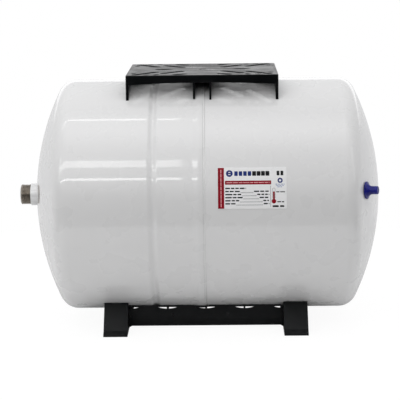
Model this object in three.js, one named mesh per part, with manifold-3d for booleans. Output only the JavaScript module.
// A horizontal pressure expansion vessel of about 60 litres, for heating and booster sets.
//
// Two deep drawn steel cups meet in a lap-welded seam. A butyl diaphragm, clenched in a rolled groove of
// the water cup, parts the water on the left from the air on the right. A moulded plate on top carries a
// pump, and a moulded base with two feet carries the tank.
//
// Millimetres, +Z up. X runs along the tank, from the water connection (-X) to the air side (+X). The
// origin is on the floor, under the middle of the whole vessel.

import * as THREE from "three";
import { mergeVertices } from "three/addons/utils/BufferGeometryUtils.js";
import Module from "manifold-3d";

const wasm = await Module();
wasm.setup();

// ---------------------------------------------------------------- driving dimensions

const GAP = 0.3; // left between pieces that touch
const TURN_SIDES = 40; // sides of a large turned piece
const SMALL_SIDES = 20; // sides of a small turned piece
const NIPPLE_SIDES = 32; // sides of the water connection
const CUT_SIDES = 80; // sides of the cylinder that cuts a saddle

const TANK_RADIUS = 190;
const TANK_TANGENT = 215; // from the tank's middle to the end of its straight wall
const CROWN_RADIUS = 387;
const KNUCKLE_RADIUS = 29;
const WALL = 2;
const AXIS_HEIGHT = 208; // of the tank's axis over the floor

const GROOVE_X = -84; // middle of the rolled groove
const GROOVE_WIDTH = 18;
const GROOVE_DEPTH = 3;
const SEAM_X = -5; // edge of the water cup's lip, which laps over the air cup
const LAP = 17; // length of the lap
const LIP_RISE = 1.2; // how far the lip is flared
const WELD_WIDTH = 4;

const NIPPLE_TIP_X = -311;
const NIPPLE_RADIUS = 33.25 / 2; // 1 inch pipe thread, over its crests
const NIPPLE_BORE = 13;
const COLLAR_RADIUS = 18.4;
const COLLAR_TIP_X = -294.5;

const VALVE_TILT = (24 * Math.PI) / 180; // of the air valve's axis away from the tank's axis
const VALVE_CLOCK = (11.2 * Math.PI) / 180; // how far above the level the valve leans forward
const BOSS_RADIUS = 6; // outside of the stub that is welded into the dome
const BOSS_DEPTH = 8; // how far the stub reaches inside
const STEM_RADIUS = 3.9;
const STEM_TOP = 15; // over the dome
const SPRING_LOW = 5.5;
const SPRING_HIGH = 12.4;
const SPRING_TURNS = 5;
const SPRING_RADIUS = 1.6; // of the coil's middle line
const WIRE_RADIUS = 0.25;
const CAP_FLANGE_RADIUS = 13.75;
const CAP_STEM_RADIUS = 6.5;
const CAP_HEIGHT = 19.5;

const PLATE_X = -6.2; // middle of the pump plate
const PLATE_LENGTH = 242;
const PLATE_WIDTH = 184;
const PLATE_TOP = 206.5;
const PLATE_SHEET = 3.5;
const PLATE_SKIRT = 12; // at the plate's middle
const PLATE_SKIRT_END = 15.5; // the skirt's lower edge is arched
const PLATE_FLANGE = 3.2; // thickness of the skirts and ribs
const PLATE_END_WALL = 4.4;
const PLATE_RIB_OFFSET = 13;
const PLATE_SEAT = TANK_RADIUS + LIP_RISE; // the plate's bolt stands on the raised lip

const BASE_X = -3.9; // middle of the base
const FOOT_OFFSET = 145.2; // from the base's middle to a foot's middle
const FOOT_LENGTH = 39; // along X
const FOOT_TOP_Y = 100; // where a foot's front face meets the tank
const FOOT_HEEL_Y = 131; // where the foot's face turns out into the toe
const FOOT_TOE_Y = 139;
const RAIL_Y = 85; // outer face of a rail
const RAIL_THICK = 3.5;
const RAIL_BOTTOM = -205.2;
const RAIL_VALLEY = -176.8;
const RAIL_STRIP = -173.8; // underside of the strip that closes the valleys under the tank
const RAIL_CREST = -166; // inside the tank's wall, where the humps are cut off by the saddle
const RAIL_BAYS = 4;
const GUSSET_INNER_Y = 62;
const GUSSET_THICK = 3;

const LABEL_LEFT = 17.3;
const LABEL_RIGHT = 123.5;
const LABEL_LOW = (3 * Math.PI) / 180; // angles of the label's edges above the level
const LABEL_HIGH = (22.3 * Math.PI) / 180;
const LABEL_THICK = 0.3;

// ---------------------------------------------------------------- materials

const paint = (color, roughness, metalness = 0) =>
  new THREE.MeshStandardMaterial({ color, roughness, metalness });
const MATERIALS = {
  whitePaint: () => paint(0xefefec, 0.25),
  stainless: () => paint(0xb9b7b0, 0.3, 1),
  zincSteel: () => paint(0xa8aaac, 0.4, 1),
  brass: () => paint(0xb08d45, 0.35, 1),
  springSteel: () => paint(0x8f9296, 0.3, 1),
  butyl: () => paint(0x171717, 0.8),
  liner: () => paint(0xd8dcd6, 0.5),
  bluePlastic: () => paint(0x161c8c, 0.35),
  blackPlastic: () => paint(0x1a1b1d, 0.55),
  label: () => paint(0xf4f4f2, 0.3),
};

// ---------------------------------------------------------------- helpers

function toSolid(geometry) {
  const bare = new THREE.BufferGeometry();
  bare.setAttribute("position", geometry.getAttribute("position"));
  bare.setIndex(geometry.index);
  const merged = mergeVertices(bare, 1e-4);
  return new wasm.Manifold(
    new wasm.Mesh({
      numProp: 3,
      vertProperties: merged.attributes.position.array,
      triVerts: new Uint32Array(merged.index.array),
    }),
  );
}

function toGeometry(solid) {
  const mesh = solid.getMesh();
  const geometry = new THREE.BufferGeometry();
  geometry.setAttribute("position", new THREE.BufferAttribute(mesh.vertProperties, 3));
  geometry.setIndex(new THREE.BufferAttribute(mesh.triVerts, 1));
  geometry.computeVertexNormals();
  return geometry;
}

const cut = (solid, ...tools) => tools.reduce((left, tool) => left.subtract(tool), solid);
const join = (...solids) => solids.reduce((all, one) => all.add(one));

// A turned body about the X axis. Each profile point is [radius, x]. A tube's profile goes along the
// outside towards +X and back along the inside.
function turnX(profile, sides = TURN_SIDES) {
  const points = profile.map(([radius, x]) => new THREE.Vector2(radius, x));
  return new THREE.LatheGeometry(points, sides).rotateZ(-Math.PI / 2);
}

// A turned body about the Z axis. Each profile point is [radius, z].
function turnZ(profile, sides = SMALL_SIDES) {
  const points = profile.map(([radius, z]) => new THREE.Vector2(radius, z));
  return new THREE.LatheGeometry(points, sides).rotateX(Math.PI / 2);
}

const closeRing = (profile) => [...profile, profile[0]];

const tubeZ = (inner, outer, low, high, sides = SMALL_SIDES) =>
  turnZ(closeRing([[outer, low], [outer, high], [inner, high], [inner, low]]), sides);

const rodZ = (radius, low, high, sides = SMALL_SIDES) =>
  turnZ([[0, low], [radius, low], [radius, high], [0, high]], sides);

function box(x0, x1, y0, y1, z0, z1) {
  const geometry = new THREE.BoxGeometry(x1 - x0, y1 - y0, z1 - z0);
  return geometry.translate((x0 + x1) / 2, (y0 + y1) / 2, (z0 + z1) / 2);
}

// An outline in the YZ plane, drawn through [y, z] points, run along X from x0 to x1.
function alongX(shape, x0, x1, curveSegments = 12) {
  const depth = x1 - x0;
  const geometry = new THREE.ExtrudeGeometry(shape, { depth, bevelEnabled: false, curveSegments });
  // the shape's x, y and depth become Y, Z and X
  const axes = new THREE.Matrix4().set(0, 0, 1, x0, 1, 0, 0, 0, 0, 1, 0, 0, 0, 0, 0, 1);
  return geometry.applyMatrix4(axes);
}

// An outline in the XZ plane run along Y from y0 to y1.
function alongY(shape, y0, y1, curveSegments = 8) {
  const depth = y1 - y0;
  const geometry = new THREE.ExtrudeGeometry(shape, { depth, bevelEnabled: false, curveSegments });
  return geometry.rotateX(Math.PI / 2).translate(0, y1, 0);
}

// An outline in the XY plane run along Z from z0 to z1.
function alongZ(shape, z0, z1, curveSegments = 4) {
  const depth = z1 - z0;
  const geometry = new THREE.ExtrudeGeometry(shape, { depth, bevelEnabled: false, curveSegments });
  return geometry.translate(0, 0, z0);
}

const polygon = (points) => new THREE.Shape(points.map(([x, y]) => new THREE.Vector2(x, y)));

function roundedRectangle(x0, x1, y0, y1, radius) {
  const shape = new THREE.Shape();
  shape.moveTo(x0 + radius, y0);
  shape.lineTo(x1 - radius, y0);
  shape.absarc(x1 - radius, y0 + radius, radius, -Math.PI / 2, 0);
  shape.lineTo(x1, y1 - radius);
  shape.absarc(x1 - radius, y1 - radius, radius, 0, Math.PI / 2);
  shape.lineTo(x0 + radius, y1);
  shape.absarc(x0 + radius, y1 - radius, radius, Math.PI / 2, Math.PI);
  shape.lineTo(x0, y0 + radius);
  shape.absarc(x0 + radius, y0 + radius, radius, Math.PI, 1.5 * Math.PI);
  return shape;
}

// A slot with round ends, whose end centres are (ax, ay) and (bx, by).
function slotOutline(ax, ay, bx, by, width) {
  const heading = Math.atan2(by - ay, bx - ax);
  const radius = width / 2;
  const shape = new THREE.Shape();
  shape.absarc(bx, by, radius, heading - Math.PI / 2, heading + Math.PI / 2);
  shape.absarc(ax, ay, radius, heading + Math.PI / 2, heading + 1.5 * Math.PI);
  shape.closePath();
  return shape;
}

// A pointed oval, the meeting of two arcs, along X.
function lensOutline(x, y, length, width) {
  const shape = new THREE.Shape();
  shape.moveTo(x - length / 2, y);
  shape.quadraticCurveTo(x, y - width, x + length / 2, y);
  shape.quadraticCurveTo(x, y + width, x - length / 2, y);
  return shape;
}

// What a moulding leaves free for the tank and its raised seam. The moulding's middle is at the given x.
function tankCutter(x) {
  const radius = TANK_RADIUS + GAP;
  const raised = radius + LIP_RISE;
  const seam = [SEAM_X - LAP - 1, SEAM_X + WELD_WIDTH + 2];
  const profile = [
    [0, -TANK_TANGENT],
    [radius, -TANK_TANGENT],
    [radius, seam[0]],
    [raised, seam[0]],
    [raised, seam[1]],
    [radius, seam[1]],
    [radius, TANK_TANGENT],
    [0, TANK_TANGENT],
  ];
  return toSolid(turnX(profile, CUT_SIDES).translate(-x, 0, 0));
}

// ---------------------------------------------------------------- the tank's profile

// Points [radius, distance from the middle] of a dished head, from its pole or the edge of a hole there
// to its straight wall.
function headProfile({ radius, knuckle, crown, pole, hole = 0, crownSteps = 5, knuckleSteps = 4 }) {
  const start = Math.asin(hole / crown);
  const turn = Math.asin((radius - knuckle) / (crown - knuckle));
  const crownCentre = pole - crown;
  const knuckleX = crownCentre + (crown - knuckle) * Math.cos(turn);
  const points = [];
  for (let i = 0; i <= crownSteps; i++) {
    const a = start + ((turn - start) * i) / crownSteps;
    points.push([crown * Math.sin(a), crownCentre + crown * Math.cos(a)]);
  }
  for (let i = 1; i <= knuckleSteps; i++) {
    const a = turn + ((Math.PI / 2 - turn) * i) / knuckleSteps;
    points.push([radius - knuckle + knuckle * Math.sin(a), knuckleX + knuckle * Math.cos(a)]);
  }
  return points;
}

const CROWN_OFFSET = Math.sqrt(
  (CROWN_RADIUS - KNUCKLE_RADIUS) ** 2 - (TANK_RADIUS - KNUCKLE_RADIUS) ** 2,
);
const POLE = TANK_TANGENT - CROWN_OFFSET + CROWN_RADIUS; // from the tank's middle to a dome's pole

// The tank's own head, moved inwards by a wall thickness or more. What is hidden inside has fewer steps.
const tankHead = (inwards, hole = 0) =>
  headProfile({
    hole,
    radius: TANK_RADIUS - inwards,
    knuckle: KNUCKLE_RADIUS - inwards,
    crown: CROWN_RADIUS - inwards,
    pole: POLE - inwards,
    ...(inwards > 0 ? { crownSteps: 4, knuckleSteps: 3 } : {}),
  });

const onLeft = (points) => points.map(([radius, x]) => [radius, -x]);

// The smooth dip of the rolled groove, seen on a wall of the given radius.
function grooveProfile(radius, steps = 6) {
  const points = [];
  for (let i = 0; i <= steps; i++) {
    const t = i / steps;
    const dip = (GROOVE_DEPTH * (1 - Math.cos(2 * Math.PI * t))) / 2;
    points.push([radius - dip, GROOVE_X + (t - 0.5) * GROOVE_WIDTH]);
  }
  return points;
}

// ---------------------------------------------------------------- tank shells and water side

const POLE_HOLE = COLLAR_RADIUS + GAP;
const LINER_GAP = 0.4;
const LINER_WALL = 1.2;
const LINER_END_X = -98;

function waterShell() {
  const lip = [
    [TANK_RADIUS, SEAM_X - LAP],
    [TANK_RADIUS + LIP_RISE, SEAM_X - LAP + 6],
    [TANK_RADIUS + LIP_RISE, SEAM_X],
  ];
  const outside = [...onLeft(tankHead(0, POLE_HOLE)), ...grooveProfile(TANK_RADIUS), ...lip];
  const insideLip = lip.map(([radius, x]) => [radius - WALL, x]).reverse();
  const insideHead = onLeft(tankHead(WALL, POLE_HOLE)).reverse();
  const inside = [...insideLip, ...grooveProfile(TANK_RADIUS - WALL, 4).reverse(), ...insideHead];
  return turnX(closeRing([...outside, ...inside]));
}

function airShell() {
  const tuck = TANK_RADIUS + LIP_RISE - WALL - GAP; // the tucked lip fits inside the water cup's
  const outside = [
    [tuck, SEAM_X - LAP + 5],
    [tuck, SEAM_X - GAP],
    [TANK_RADIUS, SEAM_X + 1],
    ...tankHead(0).reverse(),
  ];
  const inside = [
    ...tankHead(WALL),
    [TANK_RADIUS - WALL, SEAM_X + 1],
    [tuck - WALL, SEAM_X - GAP],
    [tuck - WALL, SEAM_X - LAP + 5],
  ];
  const shell = toSolid(turnX([...outside, ...inside, outside[0]]));
  const hole = toSolid(valvePlaced(rodZ(BOSS_RADIUS + GAP, -12, 6)));
  return toGeometry(cut(shell, hole));
}

// The bead that closes the lap, on the air cup against the lip's edge.
function girthWeld() {
  const low = TANK_RADIUS + GAP;
  const left = SEAM_X + GAP;
  const top = TANK_RADIUS + LIP_RISE;
  return turnX(
    closeRing([
      [low, left + 1],
      [top - 0.3, left],
      [top, left + 0.8],
      [top - 0.4, left + 2],
      [low, left + WELD_WIDTH],
    ]),
  );
}

// The hoop that presses the diaphragm's rim against the groove.
const RING_RADIUS = 181.2;
function clenchRing() {
  const inner = RING_RADIUS - 1.6;
  return turnX(
    closeRing([
      [RING_RADIUS, GROOVE_X - 10],
      [RING_RADIUS, GROOVE_X + 8],
      [RING_RADIUS + 3.5, GROOVE_X + 12],
      [RING_RADIUS + 2.5, GROOVE_X + 13],
      [inner, GROOVE_X + 9],
      [inner, GROOVE_X - 10],
    ]),
  );
}

const RIM_TOP = TANK_RADIUS - WALL - GROOVE_DEPTH - GAP;
const RIM_LOW = RING_RADIUS + GAP;
const DIAPHRAGM_POLE = 266;
function diaphragm() {
  const thick = 2.5;
  const head = (inwards) =>
    headProfile({
      radius: 171 - inwards,
      knuckle: 25 - inwards,
      crown: 400 - inwards,
      pole: DIAPHRAGM_POLE - inwards,
      crownSteps: 3,
      knuckleSteps: 3,
    });
  return turnX([
    ...onLeft(head(0)),
    [177, GROOVE_X - 28],
    [184, GROOVE_X - 18],
    [RIM_TOP, GROOVE_X - 4],
    [RIM_TOP, GROOVE_X + 6],
    [RIM_LOW, GROOVE_X + 6],
    [RIM_LOW, GROOVE_X - 12],
    [177 - thick, GROOVE_X - 24],
    ...onLeft(head(thick)).reverse(),
  ]);
}

// The moulded lining that keeps water off the steel.
function waterLiner() {
  const outer = WALL + LINER_GAP;
  const hole = NIPPLE_RADIUS + GAP;
  const outside = [...onLeft(tankHead(outer, hole)), [TANK_RADIUS - outer, LINER_END_X]];
  const inside = [
    [TANK_RADIUS - outer - LINER_WALL, LINER_END_X],
    ...onLeft(tankHead(outer + LINER_WALL, hole)).reverse(),
  ];
  return turnX(closeRing([...outside, ...inside]));
}

// The painted collar that is welded into the dome and guards the nipple's root.
function waterCollar() {
  const bore = NIPPLE_RADIUS + GAP;
  const inside = -(POLE - WALL);
  return turnX(
    closeRing([
      [bore, COLLAR_TIP_X],
      [COLLAR_RADIUS - 1.2, COLLAR_TIP_X],
      [COLLAR_RADIUS, COLLAR_TIP_X + 1.6],
      [COLLAR_RADIUS, inside],
      [bore, inside],
    ]),
    NIPPLE_SIDES,
  );
}

const LINER_INSIDE_X = -(POLE - WALL - LINER_GAP - LINER_WALL);
const SEAL_THICK = 2;

// The threaded nipple, with a flange inside that holds the lining and its seal.
function waterNipple() {
  const flange = LINER_INSIDE_X + 2 * GAP + SEAL_THICK;
  return turnX(
    closeRing([
      [NIPPLE_BORE, NIPPLE_TIP_X],
      [NIPPLE_RADIUS - 1.6, NIPPLE_TIP_X],
      [NIPPLE_RADIUS, NIPPLE_TIP_X + 1.8],
      [NIPPLE_RADIUS, flange],
      [26, flange],
      [26, flange + 3],
      [NIPPLE_BORE, flange + 3],
    ]),
    NIPPLE_SIDES,
  );
}

function nippleSeal() {
  const left = LINER_INSIDE_X + 2 * GAP + 0.2;
  const inner = NIPPLE_RADIUS + GAP;
  const profile = [[inner, left], [24, left + 0.6], [24, left + 1.6], [inner, left + 1.6]];
  return turnX(closeRing(profile), NIPPLE_SIDES);
}

// ---------------------------------------------------------------- air valve

// The valve's frame: its Z axis is the dome's normal at the valve, and its zero is on the dome.
const VALVE_FRAME = (() => {
  const forward = new THREE.Vector3(0, -Math.cos(VALVE_CLOCK), Math.sin(VALVE_CLOCK));
  const normal = forward.clone().multiplyScalar(Math.sin(VALVE_TILT));
  normal.x = Math.cos(VALVE_TILT);
  const foot = normal.clone().multiplyScalar(CROWN_RADIUS);
  foot.x += POLE - CROWN_RADIUS;
  const turn = new THREE.Quaternion().setFromUnitVectors(new THREE.Vector3(0, 0, 1), normal);
  return new THREE.Matrix4().compose(foot, turn, new THREE.Vector3(1, 1, 1));
})();

const valvePlaced = (geometry) => geometry.applyMatrix4(VALVE_FRAME);

// The stub welded into the dome.
const valveBoss = () => tubeZ(STEM_RADIUS + GAP, BOSS_RADIUS, -BOSS_DEPTH, 2.6);

// The brass valve: a stem with a round shoulder and a ledge for the spring.
const valveBody = () =>
  turnZ(
    closeRing([
      [STEM_RADIUS, -6],
      [STEM_RADIUS, 4],
      [5.2, 4],
      [5.2, 7],
      [STEM_RADIUS, 7],
      [STEM_RADIUS, STEM_TOP],
      [2.3, STEM_TOP],
      [2.3, 5],
      [1.2, 4.4],
      [1.2, 3],
      [2.1, 2],
      [2.1, -6],
    ]),
  );

const valveGasket = () => tubeZ(4.2, 5.6, 2.9, 3.7);

// The pin that a gauge or pump presses, with the spring's collar on top and the plug below.
const valvePin = () =>
  turnZ(
    [
      [0, -8.4],
      [2.6, -8.4],
      [2.6, -6.3],
      [0.8, -5.4],
      [0.8, 12.9],
      [1.9, 12.9],
      [1.9, 13.5],
      [0.8, 13.8],
      [0.8, 14.6],
      [0, 14.6],
    ],
    16,
  );

// A wire wound round the pin between the ledge and the collar.
function valveSpring() {
  const stepsPerTurn = 8;
  const steps = SPRING_TURNS * stepsPerTurn;
  const points = [];
  for (let i = 0; i <= steps; i++) {
    const a = (2 * Math.PI * i) / stepsPerTurn;
    const z = SPRING_LOW + ((SPRING_HIGH - SPRING_LOW) * i) / steps;
    points.push(new THREE.Vector3(SPRING_RADIUS * Math.cos(a), SPRING_RADIUS * Math.sin(a), z));
  }
  const wire = new THREE.Shape().absarc(0, 0, WIRE_RADIUS, 0, 2 * Math.PI);
  const extrudePath = new THREE.CatmullRomCurve3(points);
  return new THREE.ExtrudeGeometry(wire, { steps, extrudePath, curveSegments: 5, bevelEnabled: false });
}

// The push-on cap: a thin flange on the dome, a cone and a plain stem.
function valveCap() {
  const foot = 2 * GAP;
  return turnZ([
    [6.4, foot],
    [CAP_FLANGE_RADIUS, foot],
    [CAP_FLANGE_RADIUS, foot + 1.2],
    [CAP_FLANGE_RADIUS - 1.5, foot + 1.8],
    [9.2, foot + 3.4],
    [CAP_STEM_RADIUS + 0.6, 7.4],
    [CAP_STEM_RADIUS, 8.6],
    [CAP_STEM_RADIUS, CAP_HEIGHT - 1],
    [CAP_STEM_RADIUS - 1, CAP_HEIGHT],
    [0, CAP_HEIGHT],
    [0, 16.6],
    [STEM_RADIUS + GAP, 16.6],
    [STEM_RADIUS + GAP, 9],
    [5.6, 7.4],
    [6.4, 4.6],
    [6.4, foot],
  ]);
}

// ---------------------------------------------------------------- hardware shared by plate and base

// A stack at the tank's crest, measured outwards from it: weld nut, web of the moulding, washer, head.
const NUT_FOOT = 0.4;
const NUT_TOP = 4.4;
const WEB_LOW = NUT_TOP + GAP;
const WEB_HIGH = WEB_LOW + 3;
const WASHER_FOOT = WEB_HIGH + GAP;
const WASHER_THICK = 1.2;
const HEAD_FOOT = WASHER_FOOT + WASHER_THICK + GAP;

// A bolt whose shank points to -Z and ends in the weld nut. A socket head has a round outside.
function boltStack({ shank, headRadius, headHeight, headSides, socket }) {
  const bolt = join(
    toSolid(rodZ(shank, NUT_FOOT + 0.2, HEAD_FOOT + 0.1, 16)),
    toSolid(rodZ(headRadius, HEAD_FOOT, HEAD_FOOT + headHeight, headSides)),
  );
  const nutBore = toSolid(rodZ(shank + GAP, NUT_FOOT - 1, NUT_TOP + 1, 16));
  const headTop = HEAD_FOOT + headHeight;
  const sockets = socket ? [toSolid(rodZ(socket, HEAD_FOOT + headHeight / 2, headTop + 1, 6))] : [];
  return {
    bolt: toGeometry(cut(bolt, ...sockets)),
    washer: tubeZ(shank + 0.2, shank * 1.8, WASHER_FOOT, WASHER_FOOT + WASHER_THICK),
    nut: toGeometry(cut(toSolid(rodZ(shank * 1.75, NUT_FOOT, NUT_TOP, 6)), nutBore)),
  };
}

// ---------------------------------------------------------------- pump plate

const PLATE_BOLT = { shank: 3, headRadius: 5, headHeight: 5, headSides: SMALL_SIDES, socket: 2.5 };
const PLATE_POST = 11; // radius of the post round the bolt
const PLATE_POCKET = 5.75; // radius of the pocket for the bolt's head
const PLATE_NUT_ROOM = 6.4; // radius of the room for the weld nut

// Slots of one quarter, about the plate's middle: end centres and width.
const PLATE_SLOTS = [
  { from: [-62, 61], to: [-34, 32], width: 11 },
  { from: [-107, 79], to: [-75, 42], width: 11 },
  { from: [-42, 81], to: [-29, 72], width: 11 },
  { from: [-90, 82], to: [-88, 82], width: 7 },
  { from: [-74, 82], to: [-72, 78], width: 7 },
];
const LENS_X = 63.5;
const LENS_LENGTH = 31;
const LENS_WIDTH = 13;
const CORNER_HOLE = { x: 110, y: 58, radius: 4 };

function plateHoles() {
  const holes = [];
  for (const sx of [-1, 1]) {
    holes.push(lensOutline(sx * LENS_X, 0, LENS_LENGTH, LENS_WIDTH));
    for (const sy of [-1, 1]) {
      for (const { from, to, width } of PLATE_SLOTS) {
        holes.push(slotOutline(sx * from[0], sy * from[1], sx * to[0], sy * to[1], width));
      }
      const hole = new THREE.Shape();
      hole.absarc(sx * CORNER_HOLE.x, sy * CORNER_HOLE.y, CORNER_HOLE.radius, 0, 2 * Math.PI);
      holes.push(hole);
    }
  }
  return holes;
}

// A long skirt's outline in the XZ plane.
function skirtOutline() {
  const end = PLATE_LENGTH / 2 - 1;
  const low = PLATE_TOP - PLATE_SKIRT_END;
  const shape = new THREE.Shape();
  shape.moveTo(end, PLATE_TOP - 1);
  shape.lineTo(-end, PLATE_TOP - 1);
  shape.lineTo(-end, low);
  shape.quadraticCurveTo(0, low + 2 * (PLATE_SKIRT_END - PLATE_SKIRT), end, low);
  return shape;
}

function pumpPlate() {
  const [x0, x1] = [-PLATE_LENGTH / 2, PLATE_LENGTH / 2];
  const half = PLATE_WIDTH / 2;
  const top = PLATE_TOP;
  const underside = top - PLATE_SHEET;
  const wall = PLATE_FLANGE;
  const low = 160; // below every edge, before the tank is cut away
  const post = [[0, TANK_RADIUS - 4], [PLATE_POST, TANK_RADIUS - 4], [PLATE_POST, top - 1], [0, top - 1]];
  const body = join(
    toSolid(alongZ(roundedRectangle(x0, x1, -half, half, 3), underside, top)),
    toSolid(alongY(skirtOutline(), -half, -half + wall)),
    toSolid(alongY(skirtOutline(), half - wall, half)),
    ...[
      [x0, x0 + PLATE_END_WALL],
      [-PLATE_RIB_OFFSET - wall / 2, -PLATE_RIB_OFFSET + wall / 2],
      [PLATE_RIB_OFFSET - wall / 2, PLATE_RIB_OFFSET + wall / 2],
      [x1 - PLATE_END_WALL, x1],
    ].map(([left, right]) => toSolid(box(left, right, -half + 0.6, half - 0.6, low, top - 1))),
    toSolid(turnZ(post)),
  );
  const pocket = PLATE_SEAT + WEB_HIGH;
  const bottomPocket = PLATE_SEAT + WEB_LOW;
  const cuts = [
    ...plateHoles().map((hole) => toSolid(alongZ(hole, top - PLATE_SHEET - 1, top + 1))),
    toSolid(rodZ(PLATE_POCKET, pocket, top + 1)),
    toSolid(rodZ(PLATE_NUT_ROOM, TANK_RADIUS - 5, bottomPocket)),
    toSolid(rodZ(PLATE_BOLT.shank + GAP, bottomPocket - 1, pocket + 1)),
  ];
  return toGeometry(cut(body, ...cuts, tankCutter(PLATE_X)));
}

// ---------------------------------------------------------------- base

const BASE_BOLT = { shank: 4, headRadius: 7.4, headHeight: 5.2, headSides: 6, socket: 0 };
const FOOT_POST = 13; // half width of the block round a foot's bolt
const FOOT_HEAD_ROOM = 9; // radius of the pocket for a bolt's head
const FOOT_NUT_ROOM = 8.2; // radius of the room for a weld nut

// A foot's outline in the YZ plane, kept the given distance inside its outer faces.
function footOutline(inset) {
  const floor = -AXIS_HEIGHT;
  const top = -150;
  const lean = inset * 1.25;
  return polygon([
    [-FOOT_TOE_Y + inset, floor - (inset ? 1 : 0)],
    [FOOT_TOE_Y - inset, floor - (inset ? 1 : 0)],
    [FOOT_TOE_Y - inset, floor + 2.5 - inset / 2],
    [FOOT_HEEL_Y - lean, -200 - inset / 2],
    [FOOT_TOP_Y - lean, -161.6],
    [FOOT_TOP_Y - lean, top],
    [-FOOT_TOP_Y + lean, top],
    [-FOOT_TOP_Y + lean, -161.6],
    [-FOOT_HEEL_Y + lean, -200 - inset / 2],
    [-FOOT_TOE_Y + inset, floor + 2.5 - inset / 2],
  ]);
}

// A rail's outline in the XZ plane: a straight bottom with small fillets at the feet and a scalloped top,
// one hump in each bay.
function railOutline() {
  const half = FOOT_OFFSET - FOOT_LENGTH / 2 + 1;
  const bay = (2 * (half - 1)) / RAIL_BAYS;
  const shape = new THREE.Shape();
  shape.moveTo(-half, RAIL_BOTTOM - 3);
  shape.quadraticCurveTo(-half + 1, RAIL_BOTTOM, -half + 5, RAIL_BOTTOM);
  shape.lineTo(half - 5, RAIL_BOTTOM);
  shape.quadraticCurveTo(half - 1, RAIL_BOTTOM, half, RAIL_BOTTOM - 3);
  shape.lineTo(half, RAIL_VALLEY);
  for (let i = RAIL_BAYS - 1; i >= 0; i--) {
    const middle = -half + 1 + bay * (i + 0.5);
    const reach = bay / 2;
    shape.lineTo(middle + reach - 1, RAIL_VALLEY);
    shape.quadraticCurveTo(middle + reach * 0.45, RAIL_VALLEY, middle + reach * 0.08, RAIL_CREST);
    shape.lineTo(middle - reach * 0.08, RAIL_CREST);
    shape.quadraticCurveTo(middle - reach * 0.45, RAIL_VALLEY, middle - reach + 1, RAIL_VALLEY);
  }
  shape.lineTo(-half, RAIL_VALLEY);
  return shape;
}

function baseFrame() {
  const floor = -AXIS_HEIGHT;
  const wall = 4;
  const bay = (2 * FOOT_OFFSET - FOOT_LENGTH) / RAIL_BAYS;
  const solids = [];
  for (const side of [-1, 1]) {
    const middle = side * FOOT_OFFSET;
    const [x0, x1] = [middle - FOOT_LENGTH / 2, middle + FOOT_LENGTH / 2];
    const foot = toSolid(alongX(footOutline(0), x0, x1));
    const hollow = toSolid(alongX(footOutline(wall), x0 + wall, x1 - wall));
    const saddle = TANK_RADIUS + wall;
    const cradle = toSolid(turnX([[0, x0], [saddle, x0], [saddle, x1], [0, x1]], CUT_SIDES));
    const keep = [-GUSSET_INNER_Y, 0, GUSSET_INNER_Y].map((y) => {
      const width = y === 0 ? FOOT_POST : GUSSET_THICK / 2;
      return toSolid(box(x0 + 1, x1 - 1, y - width, y + width, floor - 2, -150));
    });
    solids.push(cut(foot, cut(hollow, cradle, ...keep)));
    const railFront = side > 0 ? RAIL_Y - RAIL_THICK : -RAIL_Y;
    solids.push(toSolid(alongY(railOutline(), railFront, railFront + RAIL_THICK)));
    const reach = FOOT_OFFSET - FOOT_LENGTH / 2 + 1;
    solids.push(toSolid(box(-reach, reach, railFront, railFront + RAIL_THICK, RAIL_STRIP, -158)));
    for (const i of [-1, 0, 1]) {
      const [y0, y1] = side > 0 ? [GUSSET_INNER_Y, RAIL_Y - 1] : [-RAIL_Y + 1, -GUSSET_INNER_Y];
      const half = GUSSET_THICK / 2;
      solids.push(toSolid(box(i * bay - half, i * bay + half, y0, y1, RAIL_BOTTOM + 2, -158)));
    }
  }
  const bolts = [-1, 1].flatMap((side) => {
    const at = (geometry) => toSolid(geometry.translate(side * FOOT_OFFSET, 0, 0));
    return [
      at(rodZ(FOOT_HEAD_ROOM, floor - 1, -TANK_RADIUS - WEB_HIGH)),
      at(rodZ(BASE_BOLT.shank + 0.4, -TANK_RADIUS - WEB_HIGH - 1, -TANK_RADIUS - WEB_LOW + 1)),
      at(rodZ(FOOT_NUT_ROOM, -TANK_RADIUS - WEB_LOW, -150)),
    ];
  });
  return toGeometry(cut(join(...solids), tankCutter(BASE_X), ...bolts));
}

// ---------------------------------------------------------------- label

// A thin sheet bent round the tank's front.
function ratingLabel() {
  const inner = TANK_RADIUS + GAP;
  const outer = inner + LABEL_THICK;
  const shape = new THREE.Shape();
  // in the YZ plane, the front is at the angle PI
  shape.absarc(0, 0, outer, Math.PI - LABEL_HIGH, Math.PI - LABEL_LOW);
  shape.absarc(0, 0, inner, Math.PI - LABEL_LOW, Math.PI - LABEL_HIGH, true);
  return alongX(shape, LABEL_LEFT, LABEL_RIGHT, 10);
}

// ---------------------------------------------------------------- assembly

function part(name, geometry, material) {
  const mesh = new THREE.Mesh(geometry, MATERIALS[material]());
  mesh.name = name;
  return mesh;
}

function group(...children) {
  const made = new THREE.Group();
  made.add(...children);
  return made;
}

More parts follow.
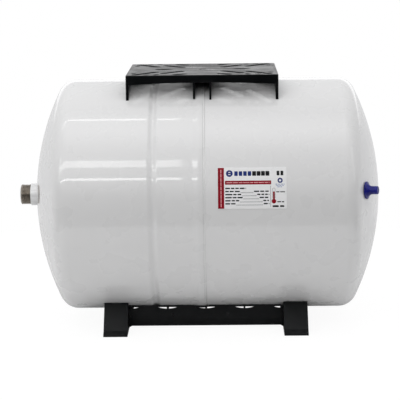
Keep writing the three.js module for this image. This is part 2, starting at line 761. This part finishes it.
const tank = group(
  part("water_shell", waterShell(), "whitePaint"),
  part("air_shell", airShell(), "whitePaint"),
  part("girth_weld", girthWeld(), "whitePaint"),
  part("clench_ring", clenchRing(), "zincSteel"),
  part("diaphragm", diaphragm(), "butyl"),
  part("water_liner", waterLiner(), "liner"),
  part("water_collar", waterCollar(), "whitePaint"),
  part("water_nipple", waterNipple(), "stainless"),
  part("nipple_seal", nippleSeal(), "butyl"),
  part("rating_label", ratingLabel(), "label"),
);

const airValve = group(
  part("valve_boss", valveBoss(), "whitePaint"),
  part("valve_body", valveBody(), "brass"),
  part("valve_gasket", valveGasket(), "butyl"),
  part("valve_pin", valvePin(), "brass"),
  part("valve_spring", valveSpring(), "springSteel"),
  part("valve_cap", valveCap(), "bluePlastic"),
);
airValve.applyMatrix4(VALVE_FRAME);
tank.add(airValve);

const plateStack = boltStack(PLATE_BOLT);
const plateHardware = group(
  part("plate_bolt", plateStack.bolt, "zincSteel"),
  part("plate_washer", plateStack.washer, "zincSteel"),
  part("plate_weld_nut", plateStack.nut, "zincSteel"),
);
plateHardware.position.z = PLATE_SEAT;
const pumpSeat = group(part("pump_plate", pumpPlate(), "blackPlastic"), plateHardware);
pumpSeat.position.x = PLATE_X;
tank.add(pumpSeat);

const base = group(part("base_frame", baseFrame(), "blackPlastic"));
base.position.x = BASE_X;
for (const [side, word] of [[-1, "left"], [1, "right"]]) {
  const stack = boltStack(BASE_BOLT);
  const hardware = group(
    part(`base_bolt_${word}`, stack.bolt, "zincSteel"),
    part(`base_washer_${word}`, stack.washer, "zincSteel"),
    part(`base_weld_nut_${word}`, stack.nut, "zincSteel"),
  );
  hardware.rotation.x = Math.PI;
  hardware.position.set(side * FOOT_OFFSET, 0, -TANK_RADIUS);
  base.add(hardware);
}
tank.add(base);

// The origin is under the middle of the whole length, from the nipple's tip to the air dome's pole.
tank.position.set(-(NIPPLE_TIP_X + POLE) / 2, 0, AXIS_HEIGHT);

const vessel = new THREE.Group();
vessel.add(tank);

export default vessel;
